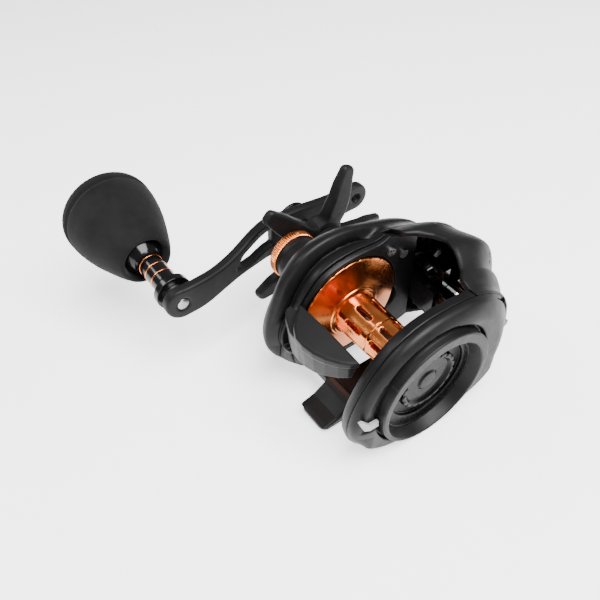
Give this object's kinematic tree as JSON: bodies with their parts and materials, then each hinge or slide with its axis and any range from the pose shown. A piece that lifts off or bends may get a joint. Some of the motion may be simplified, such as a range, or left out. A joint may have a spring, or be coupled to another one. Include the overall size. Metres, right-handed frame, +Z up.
{
  "type": "baitcasting reel",
  "caption": "Low-profile baitcasting reel, left-hand retrieve: vented orange spool, thumb bar, level-wind, star drag and an offset power handle with a round foam knob.",
  "frame": {"origin": "centre of the underside of the reel foot, on the face that lies on the rod's reel seat", "axes": "+Z up out of the rod, +Y towards the rod tip, +X towards the palm side; the handle is on the -X side"},
  "size_m": [0.1283, 0.098, 0.0554],
  "materials": {
    "frame_black": "satin black coat over a light alloy",
    "cover_black": "satin black reinforced nylon",
    "trim_black": "gloss black",
    "anodised_orange": "bright orange anodised",
    "arm_black": "bead-blasted black anodised",
    "foam_black": "matte closed-cell foam",
    "steel": "turned stainless steel",
    "brass": "machined brass",
    "carbon": "woven carbon friction disc",
    "alloy": "plain machined alloy",
    "ceramic": "polished dark ceramic",
    "lever_grey": "light grey plastic"
  },
  "bodies": {
    "reel_body": {"frame": "frame_black", "front_hood": "cover_black", "handle_side_cover": "cover_black", "reel_foot": "frame_black", "foot_rivets": "steel", "cover_screws": "steel", "set_plate": "alloy", "yoke_posts": "steel", "yoke_springs": "steel", "guide_tube": "trim_black", "guide_bar": "trim_black", "worm_bushings": "brass", "one_way_bearing": "steel", "drive_shaft_bearing": "steel", "handle_spool_bearing": "steel", "pinion_bearing": "steel"},
    "palm_cover": {"palm_side_plate": "cover_black", "palm_spool_bearing": "steel"},
    "brake_dial_body": {"brake_dial": "trim_black"},
    "magnet_carrier": {"magnet_ring": "trim_black", "brake_magnets": "steel"},
    "release_lever_body": {"release_lever": "lever_grey"},
    "crank": {"drive_shaft": "steel", "drive_gear": "brass", "guide_drive_gear": "alloy", "ratchet_wheel": "steel", "drag_washers": "carbon", "drag_plates": "steel", "anti_reverse_sleeve": "steel", "spring_washers": "steel", "handle_arm": "arm_black", "handle_nut": "arm_black", "nut_retainer": "trim_black", "knob_shaft": "steel", "knob_screw": "steel"},
    "star_wheel": {"star_drag": "arm_black"},
    "knob": {"knob_grip": "foam_black", "knob_neck": "trim_black", "neck_rings": "anodised_orange", "knob_bearings": "steel", "knob_cap": "trim_black"},
    "spool_assembly": {"spool": "anodised_orange", "spool_shaft": "steel", "clutch_pin": "steel", "brake_rotor": "alloy"},
    "yoke": {"clutch_yoke": "alloy"},
    "pinion": {"pinion_gear": "brass"},
    "cam": {"clutch_cam": "trim_black"},
    "thumb_bar_body": {"thumb_bar": "cover_black"},
    "worm": {"worm_shaft": "steel", "guide_driven_gear": "trim_black"},
    "carriage": {"line_guide": "trim_black", "line_ring": "ceramic", "guide_pawl": "steel", "pawl_cap": "alloy"},
    "tension_knob": {"tension_cap": "trim_black", "tension_ring": "anodised_orange", "tension_shim": "brass"}
  },
  "joints": [
    {"name": "crank_turn", "type": "hinge", "parent": "reel_body", "child": "crank", "pos_m": [-0.04, 0.0085, 0.0168], "axis": [1, 0, 0], "continuous": true},
    {"name": "knob_spin", "type": "hinge", "parent": "crank", "child": "knob", "pos_m": [-0.08, -0.0443, 0.0191], "axis": [1, 0, 0], "continuous": true},
    {"name": "star_turn", "type": "hinge", "parent": "crank", "child": "star_wheel", "pos_m": [-0.049, 0.0085, 0.0168], "axis": [1, 0, 0], "range_deg": [-360, 360]},
    {"name": "spool_spin", "type": "hinge", "parent": "reel_body", "child": "spool_assembly", "pos_m": [0, -0.0057, 0.022], "axis": [1, 0, 0], "continuous": true},
    {"name": "thumb_bar_press", "type": "slide", "parent": "reel_body", "child": "thumb_bar_body", "axis": [0, 0, -1], "range_m": [0, 0.0045]},
    {"name": "yoke_slide", "type": "slide", "parent": "reel_body", "child": "yoke", "axis": [-1, 0, 0], "range_m": [0, 0.0016]},
    {"name": "pinion_spin", "type": "hinge", "parent": "yoke", "child": "pinion", "pos_m": [-0.027, -0.0057, 0.022], "axis": [1, 0, 0], "continuous": true},
    {"name": "cam_turn", "type": "hinge", "parent": "reel_body", "child": "cam", "pos_m": [-0.0217, -0.0057, 0.022], "axis": [1, 0, 0], "range_deg": [0, 20.1]},
    {"name": "worm_turn", "type": "hinge", "parent": "reel_body", "child": "worm", "pos_m": [0, 0.0235, 0.0168], "axis": [1, 0, 0], "continuous": true},
    {"name": "guide_slide", "type": "slide", "parent": "reel_body", "child": "carriage", "axis": [1, 0, 0], "range_m": [0, 0.017]},
    {"name": "tension_turn", "type": "hinge", "parent": "reel_body", "child": "tension_knob", "pos_m": [-0.043, -0.0057, 0.022], "axis": [1, 0, 0], "range_deg": [-270, 270]},
    {"name": "palm_cover_slide", "type": "slide", "parent": "reel_body", "child": "palm_cover", "axis": [1, 0, 0], "range_m": [0, 0.03]},
    {"name": "brake_dial_turn", "type": "hinge", "parent": "palm_cover", "child": "brake_dial_body", "pos_m": [0.0195, -0.0057, 0.022], "axis": [1, 0, 0], "range_deg": [0, 270]},
    {"name": "magnet_slide", "type": "slide", "parent": "palm_cover", "child": "magnet_carrier", "axis": [-1, 0, 0], "range_m": [0, 0.0014]},
    {"name": "release_lever_turn", "type": "hinge", "parent": "palm_cover", "child": "release_lever_body", "pos_m": [0.021, -0.0057, 0.022], "axis": [-1, 0, 0], "range_deg": [0, 25]}
  ],
  "couplings": [
    {"joint": "spool_spin", "follows": "crank_turn", "ratio": -6.2},
    {"joint": "pinion_spin", "follows": "crank_turn", "ratio": -6.2},
    {"joint": "worm_turn", "follows": "crank_turn", "ratio": -1.5},
    {"joint": "yoke_slide", "follows": "thumb_bar_press", "ratio": 0.35556},
    {"joint": "cam_turn", "follows": "thumb_bar_press", "rad_per_m": 77.5},
    {"joint": "brake_dial_turn", "follows": "magnet_slide", "rad_per_m": 3365}
  ]
}
